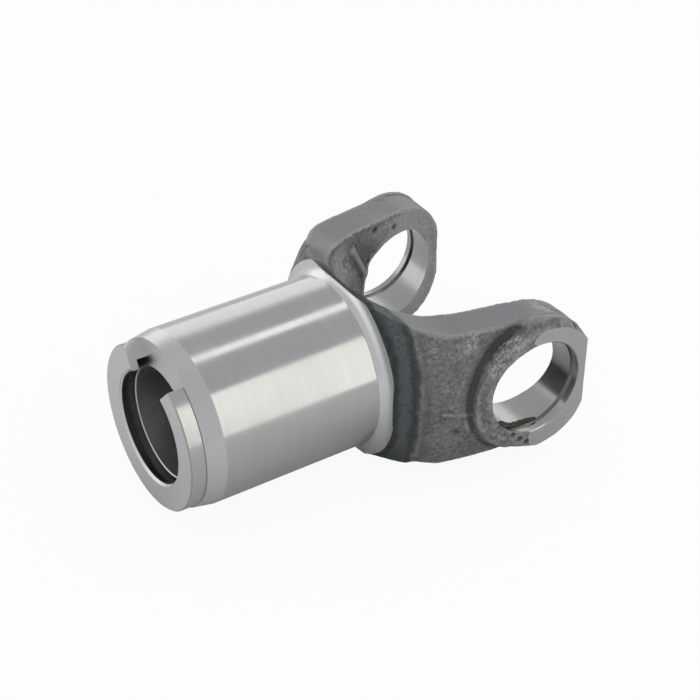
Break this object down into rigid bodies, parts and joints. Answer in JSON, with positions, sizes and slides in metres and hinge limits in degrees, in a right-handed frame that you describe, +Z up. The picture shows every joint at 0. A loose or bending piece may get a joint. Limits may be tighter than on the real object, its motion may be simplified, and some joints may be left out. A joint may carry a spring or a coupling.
{
  "type": "forged yoke",
  "caption": "Forged steel universal-joint yoke: a turned tubular hub with a notched pilot end and a fork of bored ears that hold the bearing caps of a cross.",
  "frame": {"origin": "where the hub axis crosses the axis of the ear bores", "axes": "+X along the hub axis out of the open fork, +Y along the axis of the ear bores, +Z up as the yoke lies on its hub"},
  "size_m": [0.1093, 0.0788, 0.0476],
  "materials": {
    "forged_steel": "dark scaled forging skin on the ears, bright turned steel on the hub, bores and ear faces"
  },
  "bodies": {
    "root": {"yoke": "forged_steel"}
  },
  "joints": []
}
